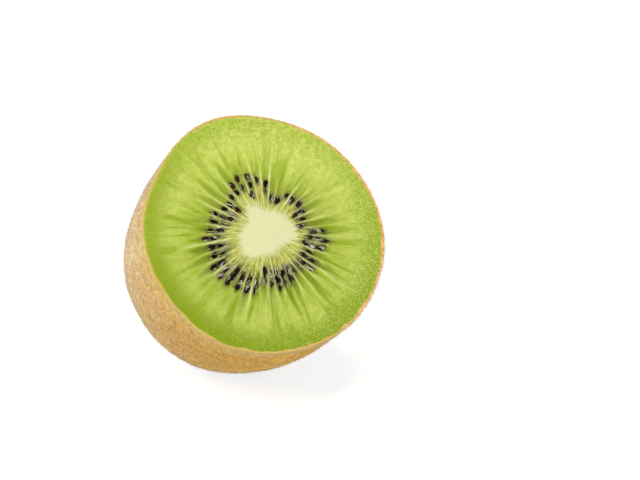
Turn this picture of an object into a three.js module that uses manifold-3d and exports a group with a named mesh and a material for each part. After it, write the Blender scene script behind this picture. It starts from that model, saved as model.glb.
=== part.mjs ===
// Half of a kiwi fruit, cut across its length and lying on its side.
//
// Millimetres, +Z up. The cut face looks along -Y and upwards, and the origin is the middle
// of the small flat spot that the fruit rests on.
//
// The fruit is first made standing on its hidden end: its axis is the Z axis, the cut lies in
// the plane z = 0 and "depth" is measured down from it. A place on the cut is a radius from
// the axis and a direction round it, anticlockwise from +X. The group then lays it over.

import * as THREE from 'three';
import { mergeVertices } from 'three/addons/utils/BufferGeometryUtils.js';
import Module from 'manifold-3d';

const wasm = await Module();
wasm.setup();

// ---- Sizes ---------------------------------------------------------------------------

// The half as a whole
const CUT_RADIUS = 25.2; // mean radius of the cut face
const WIDEST_DEPTH = 6.4; // the fruit is widest this far under the cut
const HIDDEN_LENGTH = 33.8; // from the widest place to the hidden end
const FULLNESS = 2.03; // exponent of the long section: 2 is an ellipse, more is boxier
const END_SHIFT = { across: -1.7, up: -1.5 }; // how far the hidden end is off the axis
const DEPTH = WIDEST_DEPTH + HIDDEN_LENGTH;

// The cut isn't round: each swell adds waves of this height, one crest pointing this way
const CUT_SWELLS = [
  { lobes: 2, height: 0.27, towards: 16 },
  { lobes: 3, height: 0.28, towards: -19 },
  { lobes: 4, height: 0.11, towards: 7 },
  { lobes: 5, height: 0.14, towards: 28 },
  { lobes: 6, height: 0.13, towards: -12 },
];
const SWELLS_LEFT_AT_END = 0.4; // share of the swells that remains at the hidden end

// How it lies
const CUT_TILT = 51.2; // degrees between the vertical and the cut face's normal
const REST_DEPTH = 0.4; // how much of the underside is pressed flat

// The pale core, a spindle that runs down the axis
const CORE_RADIUS = 5.2;
const CORE_LENGTH = 34;
const CORE_DOME = 0.15; // the core stands this little above the cut
const CORE_SHOULDER = 0.6; // share of the core's radius, and of the dome, where the dome bends
const CORE_SWELLS = [
  { lobes: 1, height: 0.1, towards: 182 },
  { lobes: 2, height: 0.69, towards: 25 },
  { lobes: 3, height: 0.57, towards: -23 },
  { lobes: 4, height: 0.3, towards: 19 },
  { lobes: 5, height: 0.17, towards: -32 },
  { lobes: 6, height: 0.33, towards: -18 },
];
const CORE_GAP = 0.3; // between the core and the flesh round it

// The locules, the seed chambers round the core, with a thin wall between each two
const LOCULES = 41;
const CROWDING = 0.08; // they stand closer together towards -Y
const LOCULE_HOLLOW = 0.35; // a locule's middle lies this much lower than its walls
const LOCULE_START = 6.5; // radius where the hollows begin
const LOCULE_DEEPEST = 11.5; // radius where they are deepest
const LOCULE_END = 22; // radius where they have run out

// The seeds, in radial files, one file to a locule
const SEED = { length: 1.8, width: 1.1, height: 0.9 };
const SEED_PITCH = { least: 1.55, spread: 0.6 }; // from one seed to the next in a file
const SEED_STAGGER = 0.6; // every second file starts this much farther out
const SEED_SLACK = 0.6; // a file may end this much past the ring's outline
const SEED_SCATTER = { out: 0.5, aside: 0.5, size: 0.3, twist: 0.8 }; // mm, mm, share, radians
const SEED_SINK = { least: 0.06, spread: 0.28 }; // its middle's depth in the flesh beside it
const SEED_DRAW = 1565; // starts the seeded draws
// Outline of the ring of seeds: direction in degrees, then the radius of the nearest and of
// the farthest seed
const SEED_RING = [
  [0, 7.3, 8.4],
  [10, 7.6, 8.8],
  [20, 7.4, 10.2],
  [30, 9.6, 10.8],
  [41, 8.9, 10.0],
  [58, 7.0, 8.2],
  [68, 6.7, 9.6],
  [80, 10.8, 12.2],
  [92, 7.8, 12.6],
  [104, 9.6, 12.9],
  [117, 9.6, 11.2],
  [127, 6.9, 8.4],
  [138, 6.5, 9.4],
  [156, 7.9, 11.6],
  [176, 10.2, 12.4],
  [190, 9.2, 12.2],
  [203, 11.6, 13.2],
  [222, 10.0, 13.6],
  [240, 10.4, 12.6],
  [251, 7.9, 10.6],
  [278, 7.9, 11.2],
  [296, 8.3, 9.6],
  [314, 8.6, 11.5],
  [326, 8.8, 10.0],
  [341, 8.2, 13.4],
  [352, 10.0, 11.6],
];

// The scar at the hidden end: a dimple with the dry stub of the flower in it
const SCAR_RADIUS = 3.4;
const SCAR_SINK = 0.8;
const SCAR_FLOOR = 0.7; // share of its radius where the dimple's floor begins
const STUB_RADIUS = 1.3;
const STUB_TOP = 0.8; // share of its radius that the stub has left at its top
const STUB_HEIGHT = 0.6;

// Fineness of the facets
const COLUMNS = 2 * LOCULES; // one column along each wall and one along each locule
const CUT_RINGS = 8;
const SKIN_RINGS = 22;
const CORE_RINGS = 12;
const SEED_SIDES = { around: 6, along: 4 };
const CUTTER_REACH = 2; // a cutting solid reaches this far out of what it cuts
const HAIR = 1e-4; // what is closer than this is the same corner
const LEVEL = 1e-3; // what is closer than this to a plane lies in it

// ---- Numbers -------------------------------------------------------------------------

const radians = THREE.MathUtils.degToRad;

// Seeded draws from 0 to 1, by the linear congruential generator of Numerical Recipes
function seededDraws(start) {
  const factor = 1664525;
  const step = 1013904223;
  let state = start;
  return () => {
    state = (Math.imul(state, factor) + step) >>> 0;
    return state / 2 ** 32;
  };
}

// Height of a set of swells in one direction
function swell(swells, direction) {
  return swells.reduce(
    (sum, { lobes, height, towards }) =>
      sum + height * Math.cos(lobes * (direction - radians(towards))),
    0,
  );
}

// The true direction of a column that would stand at `turn` if all were evenly spaced
function uneven(turn) {
  return turn - CROWDING * Math.cos(turn);
}

// ---- The form of the fruit -----------------------------------------------------------

// Radius of the skin at a depth, as a share of its radius at the cut
function longSection(depth) {
  const share = (d) => {
    const along = Math.abs((d - WIDEST_DEPTH) / HIDDEN_LENGTH);
    return Math.max(0, 1 - along ** FULLNESS) ** (1 / FULLNESS);
  };
  return share(depth) / share(0);
}

// How far the middle of a level is off the axis
function shiftAt(depth) {
  const along = depth / DEPTH;
  return { x: END_SHIFT.across * along, y: END_SHIFT.up * along };
}

// How far the cut lies under its plane: 0 on the walls, most in the middle of a locule
function hollowAt(radius, turn) {
  const rise = THREE.MathUtils.smoothstep(radius, LOCULE_START, LOCULE_DEEPEST);
  const fall = 1 - THREE.MathUtils.smoothstep(radius, LOCULE_DEEPEST, LOCULE_END);
  const middle = (1 - Math.cos(LOCULES * turn)) / 2;
  return LOCULE_HOLLOW * rise * fall * middle;
}

// ---- Solids --------------------------------------------------------------------------

// A closed geometry with shared corners and no collapsed triangles, as a solid
function toSolid(geometry) {
  const bare = geometry.clone();
  bare.deleteAttribute('normal');
  bare.deleteAttribute('uv');
  const welded = mergeVertices(bare, HAIR);
  const corners = welded.index.array;
  const kept = [];
  for (let i = 0; i < corners.length; i += 3) {
    const [a, b, c] = corners.slice(i, i + 3);
    if (a !== b && b !== c && c !== a) kept.push(a, b, c);
  }
  return new wasm.Manifold(
    new wasm.Mesh({
      numProp: 3,
      vertProperties: new Float32Array(welded.attributes.position.array),
      triVerts: new Uint32Array(kept),
    }),
  );
}

function toGeometry(solid) {
  const { vertProperties, triVerts } = solid.getMesh();
  const geometry = new THREE.BufferGeometry();
  geometry.setAttribute('position', new THREE.BufferAttribute(vertProperties, 3));
  geometry.setIndex(new THREE.BufferAttribute(triVerts, 1));
  geometry.computeVertexNormals();
  return geometry;
}

// Turns a half section of [radius, height] points round the Z axis, then moves each vertex
// to where shape(radius, height, turn) says
function turned(section, columns, shape) {
  const points = section.map(([radius, height]) => new THREE.Vector2(radius, height));
  const geometry = new THREE.LatheGeometry(points, columns, Math.PI / 2);
  geometry.rotateX(Math.PI / 2);
  const position = geometry.attributes.position;
  for (let i = 0; i < position.count; i += 1) {
    const x = position.getX(i);
    const y = position.getY(i);
    const place = shape(Math.hypot(x, y), position.getZ(i), Math.atan2(y, x));
    position.setXYZ(i, place.x, place.y, place.z);
  }
  return geometry;
}

// Half section of the whole fruit, from the hidden end round the skin to the cut's middle
function fruitSection() {
  const section = [
    [0, SCAR_SINK - STUB_HEIGHT - DEPTH],
    [STUB_RADIUS * STUB_TOP, SCAR_SINK - STUB_HEIGHT - DEPTH],
    [STUB_RADIUS, SCAR_SINK - DEPTH],
    [SCAR_RADIUS * SCAR_FLOOR, SCAR_SINK - DEPTH],
  ];
  // Even steps of the angle seen from the widest level, from the scar's edge up to the cut
  const scarAngle = Math.acos(SCAR_RADIUS / (CUT_RADIUS * longSection(WIDEST_DEPTH)));
  const cutAngle = -Math.asin(WIDEST_DEPTH / HIDDEN_LENGTH);
  for (let ring = 0; ring <= SKIN_RINGS; ring += 1) {
    const angle = THREE.MathUtils.lerp(scarAngle, cutAngle, ring / SKIN_RINGS);
    const depth = WIDEST_DEPTH + HIDDEN_LENGTH * Math.sin(angle);
    section.push([CUT_RADIUS * longSection(depth), -depth]);
  }
  for (let ring = 1; ring <= CUT_RINGS; ring += 1) {
    section.push([THREE.MathUtils.lerp(CUT_RADIUS, LOCULE_START, ring / CUT_RINGS), 0]);
  }
  section.push([0, 0]);
  return section;
}

// Flesh and skin in one, without seeds and core
function bareFruit() {
  return turned(fruitSection(), COLUMNS, (radius, height, turn) => {
    const depth = -height;
    const direction = uneven(turn);
    const faded = 1 - (1 - SWELLS_LEFT_AT_END) * (depth / DEPTH);
    const out = radius * (1 + (swell(CUT_SWELLS, direction) * faded) / CUT_RADIUS);
    const shift = shiftAt(depth);
    const onCut = depth < LEVEL;
    return {
      x: out * Math.cos(direction) + shift.x,
      y: out * Math.sin(direction) + shift.y,
      z: height - (onCut ? hollowAt(radius, turn) : 0),
    };
  });
}

// The core's own form, grown by `gap` on all sides and reaching `top` above the cut
function spindle(gap, top, dome) {
  const section = [[0, -(CORE_LENGTH + gap)]];
  for (let ring = 1; ring <= CORE_RINGS; ring += 1) {
    const angle = (Math.PI / 2) * (1 - ring / CORE_RINGS);
    section.push([CORE_RADIUS * Math.cos(angle), -(CORE_LENGTH + gap) * Math.sin(angle)]);
  }
  section.push(
    [CORE_RADIUS, top],
    [CORE_RADIUS * CORE_SHOULDER, top + dome * CORE_SHOULDER],
    [0, top + dome],
  );
  return turned(section, LOCULES, (radius, height, turn) => {
    const depth = Math.max(0, -height);
    const faded = 1 - depth / (CORE_LENGTH + gap);
    const share = radius / CORE_RADIUS;
    const out = share * (CORE_RADIUS + gap + swell(CORE_SWELLS, turn) * faded);
    const shift = shiftAt(depth);
    return {
      x: out * Math.cos(turn) + shift.x,
      y: out * Math.sin(turn) + shift.y,
      z: height,
    };
  });
}

// ---- Seeds ---------------------------------------------------------------------------

// Radius of the nearest and the farthest seed in a direction, smooth between the points
// of the ring's outline
function seedReach(direction) {
  const degrees = THREE.MathUtils.euclideanModulo(THREE.MathUtils.radToDeg(direction), 360);
  const after = SEED_RING.findIndex(([at]) => at > degrees);
  const next = after < 0 ? 0 : after;
  const [fromAt, fromNear, fromFar] = SEED_RING.at(next - 1);
  const [toAt, toNear, toFar] = SEED_RING[next];
  const share = THREE.MathUtils.smoothstep(degrees, fromAt, toAt > fromAt ? toAt : toAt + 360);
  return {
    near: THREE.MathUtils.lerp(fromNear, toNear, share),
    far: THREE.MathUtils.lerp(fromFar, toFar, share),
  };
}

// Every seed: radius and direction of its middle, its size, its twist and how deep it lies
function seedPlaces() {
  const draw = seededDraws(SEED_DRAW);
  const places = [];
  for (let locule = 0; locule < LOCULES; locule += 1) {
    const turn = (2 * Math.PI * (locule + 0.5)) / LOCULES;
    const middle = uneven(turn);
    const { near, far } = seedReach(middle);
    let radius = near + SEED_STAGGER * (locule % 2) + SEED_SCATTER.out * draw();
    while (radius <= far + SEED_SLACK) {
      const aside = SEED_SCATTER.aside * (draw() - 0.5);
      const scale = 1 + SEED_SCATTER.size * (draw() - 0.5);
      const twist = SEED_SCATTER.twist * (draw() - 0.5);
      const sink = SEED_SINK.least + SEED_SINK.spread * draw();
      places.push({ radius, direction: middle + aside / radius, turn, scale, twist, sink });
      radius += SEED_PITCH.least + SEED_PITCH.spread * draw();
    }
  }
  return places;
}

function seed({ radius, direction, turn, scale, twist, sink }) {
  const geometry = new THREE.SphereGeometry(1 / 2, SEED_SIDES.around, SEED_SIDES.along);
  geometry.scale(SEED.length * scale, SEED.width * scale, SEED.height * scale);
  geometry.rotateZ(direction + twist);
  geometry.translate(
    radius * Math.cos(direction),
    radius * Math.sin(direction),
    -hollowAt(radius, turn) - sink,
  );
  return geometry;
}

// ---- The pieces ----------------------------------------------------------------------

// Lays a place of the standing fruit over
const LAID_OVER = new THREE.Matrix4().makeRotationX(radians(CUT_TILT));

// Height of the flat spot in the laid-over fruit, before the group is moved to the origin
function restHeight(geometry) {
  const laid = geometry.clone().applyMatrix4(LAID_OVER);
  laid.computeBoundingBox();
  return laid.boundingBox.min.z + REST_DEPTH;
}

// What the flat spot is cut away with, a block under the laid-over fruit
function underside(fruit) {
  const side = 2 * DEPTH;
  const height = REST_DEPTH + CUTTER_REACH;
  const block = new THREE.BoxGeometry(side, side, height);
  block.translate(0, 0, restHeight(fruit) - height / 2);
  return block.applyMatrix4(LAID_OVER.clone().invert());
}

function makeFlesh() {
  const fruit = bareFruit();
  let solid = toSolid(fruit);
  for (const place of seedPlaces()) {
    solid = solid.add(toSolid(seed(place)));
  }
  solid = solid.subtract(toSolid(spindle(CORE_GAP, CUTTER_REACH, 0)));
  solid = solid.subtract(toSolid(underside(fruit)));
  return toGeometry(solid);
}

function makeCore() {
  return toGeometry(toSolid(spindle(0, 0, CORE_DOME)));
}

// The middle of the flat spot, in the laid-over fruit
function restMiddle(flesh) {
  const laid = flesh.clone().applyMatrix4(LAID_OVER);
  laid.computeBoundingBox();
  const floor = laid.boundingBox.min.z;
  const spot = new THREE.Box3();
  const corner = new THREE.Vector3();
  for (let i = 0; i < laid.attributes.position.count; i += 1) {
    corner.fromBufferAttribute(laid.attributes.position, i);
    if (corner.z < floor + LEVEL) spot.expandByPoint(corner);
  }
  return spot.getCenter(new THREE.Vector3());
}

function piece(name, geometry, color, roughness) {
  const material = new THREE.MeshStandardMaterial({ color, roughness, metalness: 0 });
  const mesh = new THREE.Mesh(geometry, material);
  mesh.name = name;
  return mesh;
}

const fleshGeometry = makeFlesh();

const kiwiHalf = new THREE.Group();
kiwiHalf.add(piece('flesh', fleshGeometry, 0xa9c24a, 0.35));
kiwiHalf.add(piece('core', makeCore(), 0xe4e3b4, 0.45));
kiwiHalf.rotation.x = radians(CUT_TILT);
kiwiHalf.position.copy(restMiddle(fleshGeometry)).negate();

export default kiwiHalf;
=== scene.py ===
"""Half of a kiwi fruit on a white floor: its surfaces, the light and the camera.

The fruit's pieces are worked out standing on the hidden end, as the solids are: the axis is
Z, the cut lies in z = 0, and a place on it is a radius and a direction round the axis. Lengths
are in millimetres until a mesh is stored, which is when the fruit is laid over into the frame.
"""

import math

import bpy
import numpy as np
from mathutils import Matrix, Vector


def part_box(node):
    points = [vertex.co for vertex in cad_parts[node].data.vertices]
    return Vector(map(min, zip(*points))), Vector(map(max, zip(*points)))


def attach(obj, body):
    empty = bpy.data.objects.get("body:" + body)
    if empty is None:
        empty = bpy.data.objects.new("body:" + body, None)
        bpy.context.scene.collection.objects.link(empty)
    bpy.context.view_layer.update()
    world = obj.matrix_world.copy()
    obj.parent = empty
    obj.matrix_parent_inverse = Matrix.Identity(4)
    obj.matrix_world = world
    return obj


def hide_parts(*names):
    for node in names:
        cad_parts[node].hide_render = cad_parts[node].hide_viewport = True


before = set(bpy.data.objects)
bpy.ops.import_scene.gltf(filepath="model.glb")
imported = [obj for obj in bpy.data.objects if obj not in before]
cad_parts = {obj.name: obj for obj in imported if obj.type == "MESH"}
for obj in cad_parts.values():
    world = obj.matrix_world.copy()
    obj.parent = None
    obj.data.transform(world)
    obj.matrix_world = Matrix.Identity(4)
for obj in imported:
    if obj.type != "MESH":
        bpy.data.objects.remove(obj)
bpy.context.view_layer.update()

MM = 0.001

# ---- Sizes that the solids have too ----

CUT_RADIUS = 25.2
WIDEST_DEPTH = 6.4
HIDDEN_LENGTH = 33.8
FULLNESS = 2.03
END_SHIFT = (-1.7, -1.5)
DEPTH = WIDEST_DEPTH + HIDDEN_LENGTH
CUT_SWELLS = [(2, 0.27, 16), (3, 0.28, -19), (4, 0.11, 7), (5, 0.14, 28), (6, 0.13, -12)]
SWELLS_LEFT_AT_END = 0.4
CUT_TILT = 51.2

CORE_RADIUS = 5.2
CORE_LENGTH = 34.0
CORE_DOME = 0.15
CORE_SWELLS = [
    (1, 0.1, 182), (2, 0.69, 25), (3, 0.57, -23), (4, 0.3, 19), (5, 0.17, -32), (6, 0.33, -18),
]

LOCULES = 41
CROWDING = 0.08
LOCULE_HOLLOW = 0.35
LOCULE_START = 6.5
LOCULE_DEEPEST = 11.5
LOCULE_END = 22.0

SEED_SIZE = (1.8, 1.1, 0.9)
SEED_PITCH = (1.55, 0.6)
SEED_STAGGER = 0.6
SEED_SLACK = 0.6
SEED_SCATTER = {"out": 0.5, "aside": 0.5, "size": 0.3, "twist": 0.8}
SEED_SINK = (0.06, 0.28)
SEED_DRAW = 1565
SEED_RING = [
    (0, 7.3, 8.4), (10, 7.6, 8.8), (20, 7.4, 10.2), (30, 9.6, 10.8),
    (41, 8.9, 10.0), (58, 7.0, 8.2), (68, 6.7, 9.6), (80, 10.8, 12.2),
    (92, 7.8, 12.6), (104, 9.6, 12.9), (117, 9.6, 11.2), (127, 6.9, 8.4),
    (138, 6.5, 9.4), (156, 7.9, 11.6), (176, 10.2, 12.4), (190, 9.2, 12.2),
    (203, 11.6, 13.2), (222, 10.0, 13.6), (240, 10.4, 12.6), (251, 7.9, 10.6),
    (278, 7.9, 11.2), (296, 8.3, 9.6), (314, 8.6, 11.5), (326, 8.8, 10.0),
    (341, 8.2, 13.4), (352, 10.0, 11.6),
]

SCAR_RADIUS = 3.4
SCAR_SINK = 0.8
STUB_RADIUS = 1.3
STUB_HEIGHT = 0.6

# ---- Sizes of the finer surface ----

COLUMNS = 20 * LOCULES  # round the cut, on each of its rings
CUT_RINGS = 100
CORE_RINGS = 45
SKIN_RINGS = 150
SCAR_RINGS = 22
SEED_RINGS = 14
SEED_COLUMNS = 20
SIDE_DEPTHS = (0.7, 1.5, 6.0, 14.0, 22.0, 30.0, 36.0)  # of the rings that the skin hides
SOCKET_DEPTHS = (5.0, 1.0)  # of the rings that the core hides
SHARP_FROM = math.radians(60)  # an edge between faces that turn more than this stays crisp

SKIN_THICKNESS = 0.34
SKIN_INSET = 0.5  # the bare skin lies this far inside the solid, which the fuzz fills up to
SKIN_GAP = 0.8  # between the skin and the flesh well under the cut, where nothing shows

HAIRS = 48000
HAIR_LENGTH = (0.5, 1.1)
HAIR_HALF_WIDTH = (0.02, 0.042)
HAIR_LEAN = (0.9, 1.52)  # radians between a hair and the skin's normal, most near the greatest
HAIR_HEADING = (1.3, 0.6)  # mean and spread, in radians from straight away from the cut
HAIR_ABOVE_CUT = 0.2  # the most that a tip may stand over the cut's plane
HAIR_OFF_FLOOR = 0.05  # the least that a hair must stay over the floor
RIM_CROWD = 4.0  # how many more hairs stand where the rim is fuzziest

# Directions on the cut, in degrees anticlockwise from its right
FUZZY_RIM = -25  # where the fuzz stands up thickest and the skin's edge is broadest
SHADY_CORNERS = (215, 320)  # where the flesh beyond the seeds is darkest

# Heights that the cut gains where one of its masks is 1
RELIEF = {"wall": 0.03, "strand": 0.22, "shade": -0.10}
RIM_DROP = 0.12  # how far it sinks just inside the skin

TAU = 2 * math.pi


# ---- Numbers ----

def smoothstep(low, high, value):
    """0 below low, 1 above high and smooth between; low may be the greater."""
    share = np.clip((value - low) / (high - low), 0.0, 1.0)
    return share * share * (3 - 2 * share)


def bump(value, middle, spread):
    """1 in the middle, falling off on both sides."""
    return np.exp(-(((value - middle) / spread) ** 2))


def towards(direction, degrees):
    """1 in one direction round the axis, 0 in the opposite one."""
    return (1 + np.cos(direction - math.radians(degrees))) / 2


def unit(vectors):
    """The vectors, each made one long."""
    return vectors / np.linalg.norm(vectors, axis=-1, keepdims=True)


def flattened(places):
    """The places as seen from straight above the cut."""
    return places * (1, 1, 0)


class Draws:
    """The seeded draws from 0 to 1 that also place the solids' seeds."""

    def __init__(self, start):
        self.state = start

    def __call__(self):
        self.state = (self.state * 1664525 + 1013904223) % 2**32
        return self.state / 2**32


def lattice_value(cells, salt):
    """A number from -1 to 1 for each whole-number place; each salt gives others."""
    mixed = np.full(cells.shape[:-1], salt * 2654435761 % 2**32, dtype=np.uint64)
    for axis, factor in enumerate((73856093, 19349663, 83492791)):
        mixed ^= (cells[..., axis].astype(np.int64) * factor).astype(np.uint64)
        mixed = (mixed * np.uint64(2246822519)) & np.uint64(0xFFFFFFFF)
        mixed ^= mixed >> np.uint64(15)
    return mixed.astype(float) / 2**31 - 1


def soft_noise(points, cell, salt):
    """Smooth noise from -1 to 1 with lumps about one cell across; each salt gives another."""
    scaled = points / cell
    low = np.floor(scaled).astype(np.int64)
    part = scaled - low
    part = part * part * (3 - 2 * part)
    total = np.zeros(points.shape[:-1])
    for corner in range(8):
        step = np.array([corner & 1, corner >> 1 & 1, corner >> 2 & 1])
        weight = np.prod(np.where(step == 1, part, 1 - part), axis=-1)
        total += weight * lattice_value(low + step, salt)
    return total


# ---- The form of the fruit ----

def swell(swells, direction):
    """Height of a set of waves in a direction; each is (lobes, height, crest in degrees)."""
    return sum(h * np.cos(lobes * (direction - math.radians(at))) for lobes, h, at in swells)


def uneven(turn):
    """The true direction of what would stand at turn if all were evenly spaced."""
    return turn - CROWDING * np.cos(turn)


def long_section(depth):
    """Radius of the skin at a depth under the cut, as a share of the cut's radius."""
    def share(d):
        along = np.abs((d - WIDEST_DEPTH) / HIDDEN_LENGTH)
        return np.clip(1 - along**FULLNESS, 0, None) ** (1 / FULLNESS)
    return share(depth) / share(0.0)


def places_at(radius, direction, height):
    """Places round the axis, from arrays or numbers of shapes that go together."""
    return np.stack(np.broadcast_arrays(
        radius * np.cos(direction), radius * np.sin(direction), height), axis=-1)


def fruit_places(radius, height, turn):
    """Places of the fruit from arrays of its half section, as the solids shape them."""
    along = -height / DEPTH
    direction = uneven(turn)
    faded = 1 - (1 - SWELLS_LEFT_AT_END) * along
    out = radius * (1 + swell(CUT_SWELLS, direction) * faded / CUT_RADIUS)
    places = places_at(out, direction, height)
    places[..., :2] += np.array(END_SHIFT) * along[..., None]
    return places


def skin_thickness(direction):
    """Thickness of the skin as the cut shows it, uneven in short stretches."""
    rim = places_at(CUT_RADIUS, direction, 0.0)
    thick = SKIN_THICKNESS * (1 + 0.5 * towards(direction, FUZZY_RIM) ** 2)
    return thick * (1 + 0.35 * soft_noise(rim, 2.2, 12) + 0.35 * soft_noise(rim, 0.8, 13))


def inside_places(depths, turn, gap):
    """Rings under the cut's edge of the skin, which well below the cut lie a gap further in."""
    depth = np.array(depths)[:, None]
    inset = skin_thickness(uneven(turn)) + gap * smoothstep(0, 2, depth)
    return fruit_places(CUT_RADIUS * long_section(depth) - inset, -depth, turn)


def core_edge(direction):
    """Radius of the core at the cut."""
    return CORE_RADIUS + swell(CORE_SWELLS, direction)


def hollow_at(radius, turn):
    """How far the cut lies under its plane: most in the middle of a locule."""
    rise = smoothstep(LOCULE_START, LOCULE_DEEPEST, radius)
    fall = 1 - smoothstep(LOCULE_DEEPEST, LOCULE_END, radius)
    return LOCULE_HOLLOW * rise * fall * (1 - np.cos(LOCULES * turn)) / 2


def seed_reach(direction):
    """Radius of the nearest and of the farthest seed in a direction."""
    degrees = np.degrees(direction) % 360
    at, near, far = (np.array(column, float) for column in zip(*SEED_RING, SEED_RING[0]))
    at[-1] += 360
    index = np.clip(np.searchsorted(at, degrees, side="right") - 1, 0, len(at) - 2)
    share = smoothstep(at[index], at[index + 1], degrees)
    return (near[index] + (near[index + 1] - near[index]) * share,
            far[index] + (far[index + 1] - far[index]) * share)


def seed_places():
    """Each seed's radius, direction, turn, size, twist and sink, by the solids' own rule."""
    draw = Draws(SEED_DRAW)
    places = []
    for locule in range(LOCULES):
        turn = TAU * (locule + 0.5) / LOCULES
        middle = float(uneven(turn))
        near, far = (float(reach) for reach in seed_reach(middle))
        radius = near + SEED_STAGGER * (locule % 2) + SEED_SCATTER["out"] * draw()
        while radius <= far + SEED_SLACK:
            aside = SEED_SCATTER["aside"] * (draw() - 0.5)
            size = 1 + SEED_SCATTER["size"] * (draw() - 0.5)
            twist = SEED_SCATTER["twist"] * (draw() - 0.5)
            sink = SEED_SINK[0] + SEED_SINK[1] * draw()
            places.append((radius, middle + aside / radius, turn, size, twist, sink))
            radius += SEED_PITCH[0] + SEED_PITCH[1] * draw()
    return places


def skin_depth(radius):
    """Depth of the fruit's hidden side at a radius near its end, with the scar in it."""
    widest = CUT_RADIUS * long_section(WIDEST_DEPTH)
    body = WIDEST_DEPTH + HIDDEN_LENGTH * (1 - (radius / widest) ** FULLNESS) ** (1 / FULLNESS)
    sink = SCAR_SINK * (1 - smoothstep(0.55 * SCAR_RADIUS, SCAR_RADIUS, radius))
    stub = STUB_HEIGHT * (1 - smoothstep(0.75 * STUB_RADIUS, 1.05 * STUB_RADIUS, radius))
    return body - sink + stub


def skin_section(rings, scar_rings):
    """Radius and height of the skin, from the cut's edge to the middle of the scar."""
    widest = CUT_RADIUS * long_section(WIDEST_DEPTH)
    first = -math.asin(WIDEST_DEPTH / HIDDEN_LENGTH)
    angle = np.linspace(first, math.acos(SCAR_RADIUS / widest), rings)
    depth = WIDEST_DEPTH + HIDDEN_LENGTH * np.sin(angle)
    scar = np.linspace(SCAR_RADIUS, 0.1, scar_rings + 1)[1:]
    radius = np.concatenate([CUT_RADIUS * long_section(depth), scar])
    return radius, -np.concatenate([depth, skin_depth(scar)])


# ---- From the standing fruit to the frame ----

def laid_over():
    """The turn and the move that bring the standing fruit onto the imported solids."""
    turn_over = Matrix.Rotation(math.radians(CUT_TILT), 4, "X")
    radius, height = skin_section(200, 20)
    turn = np.linspace(0, TAU, COLUMNS, endpoint=False)
    places = fruit_places(radius[:, None], height[:, None], turn[None, :]).reshape(-1, 3)
    reach = (places @ np.array(turn_over.to_3x3()).T).max(axis=0) * MM
    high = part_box("flesh")[1]
    return Matrix.Translation(Vector(high) - Vector(reach)) @ turn_over


LAID = laid_over()
LAID_TURN = np.array(LAID.to_3x3())
LAID_MOVE = np.array(LAID.translation)


def in_frame(places):
    """Places in the frame, in metres, of places in the standing fruit."""
    return places * MM @ LAID_TURN.T + LAID_MOVE


def above_floor(places):
    """Standing-fruit places with what would be under the floor moved up to it."""
    placed = in_frame(places)
    placed[..., 2] = np.maximum(placed[..., 2], 0.0)
    return (placed - LAID_MOVE) @ LAID_TURN / MM


# ---- Meshes ----

def add_object(name, data):
    """Puts a mesh, a lamp's light or a camera into the scene."""
    added = bpy.data.objects.new(name, data)
    bpy.context.scene.collection.objects.link(added)
    return added


def dress(name, mesh, material, node):
    """Makes a piece that rides on the fruit in place of a solid, in its own material."""
    mesh.materials.append(material)
    piece = add_object(name, mesh)
    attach(piece, "root")
    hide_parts(node)


def set_attribute(mesh, name, values):
    """Stores one number for each of a mesh's vertices, for its material to read."""
    attribute = mesh.attributes.new(name, "FLOAT", "POINT")
    attribute.data.foreach_set("value", np.ascontiguousarray(values, dtype=np.float32).ravel())


def mesh_of(name, places, faces_by_size):
    """A mesh from places in the standing fruit and arrays of faces, each array of one size."""
    mesh = bpy.data.meshes.new(name)
    mesh.vertices.add(len(places))
    mesh.vertices.foreach_set("co", in_frame(places).astype(np.float32).ravel())
    corners = np.concatenate([faces.ravel() for faces in faces_by_size])
    sizes = np.concatenate([np.full(len(faces), faces.shape[1]) for faces in faces_by_size])
    mesh.loops.add(len(corners))
    mesh.loops.foreach_set("vertex_index", corners.astype(np.int32))
    mesh.polygons.add(len(sizes))
    starts = np.concatenate([[0], np.cumsum(sizes)[:-1]])
    mesh.polygons.foreach_set("loop_start", starts.astype(np.int32))
    mesh.update(calc_edges=True)
    mesh.validate()
    mesh.shade_smooth()
    return mesh


def ring_faces(count, columns):
    """Faces over rings of vertices: a fan on the first ring, quads, a fan on the last.

    The rings' vertices come first, then the middle of the first fan and that of the last.
    """
    ring = np.arange(count - 1)[:, None] * columns
    here = np.arange(columns)[None, :]
    after = (here + 1) % columns
    quads = np.stack([ring + here, ring + columns + here, ring + columns + after, ring + after], -1)
    middle = np.full(columns, count * columns)
    end = (count - 1) * columns
    first_fan = np.stack([middle, here[0], after[0]], -1)
    last_fan = np.stack([end + here[0], middle + 1, end + after[0]], -1)
    return quads.reshape(-1, 4), np.concatenate([first_fan, last_fan])


def disc_map(reach, columns, quads, fans):
    """Map places for the corners of ring_faces: each ring is a circle of its own reach.

    The last fan's middle becomes many corners just outside the last circle.
    """
    turn = np.arange(columns) * TAU / columns
    circle = np.stack([np.cos(turn), np.sin(turn)], -1)
    spots = (np.asarray(reach)[:, None, None] * circle).reshape(-1, 2)
    spots = np.concatenate([spots, [[0.0, 0.0], [0.0, 0.0]]])
    on_quads, on_fans = spots[quads], spots[fans]
    outside = on_fans[columns:, 0] + on_fans[columns:, 2]
    outside *= (reach[-1] + 0.01) / np.linalg.norm(outside, axis=-1, keepdims=True)
    on_fans[columns:, 1] = outside
    return np.concatenate([on_quads.reshape(-1, 2), on_fans.reshape(-1, 2)])


def set_map(mesh, spots):
    """Stores a place on the map for each corner of a mesh's faces."""
    layer = mesh.uv_layers.new(name="OFBake")
    layer.uv.foreach_set("vector", np.ascontiguousarray(spots, dtype=np.float32).ravel())


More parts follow.
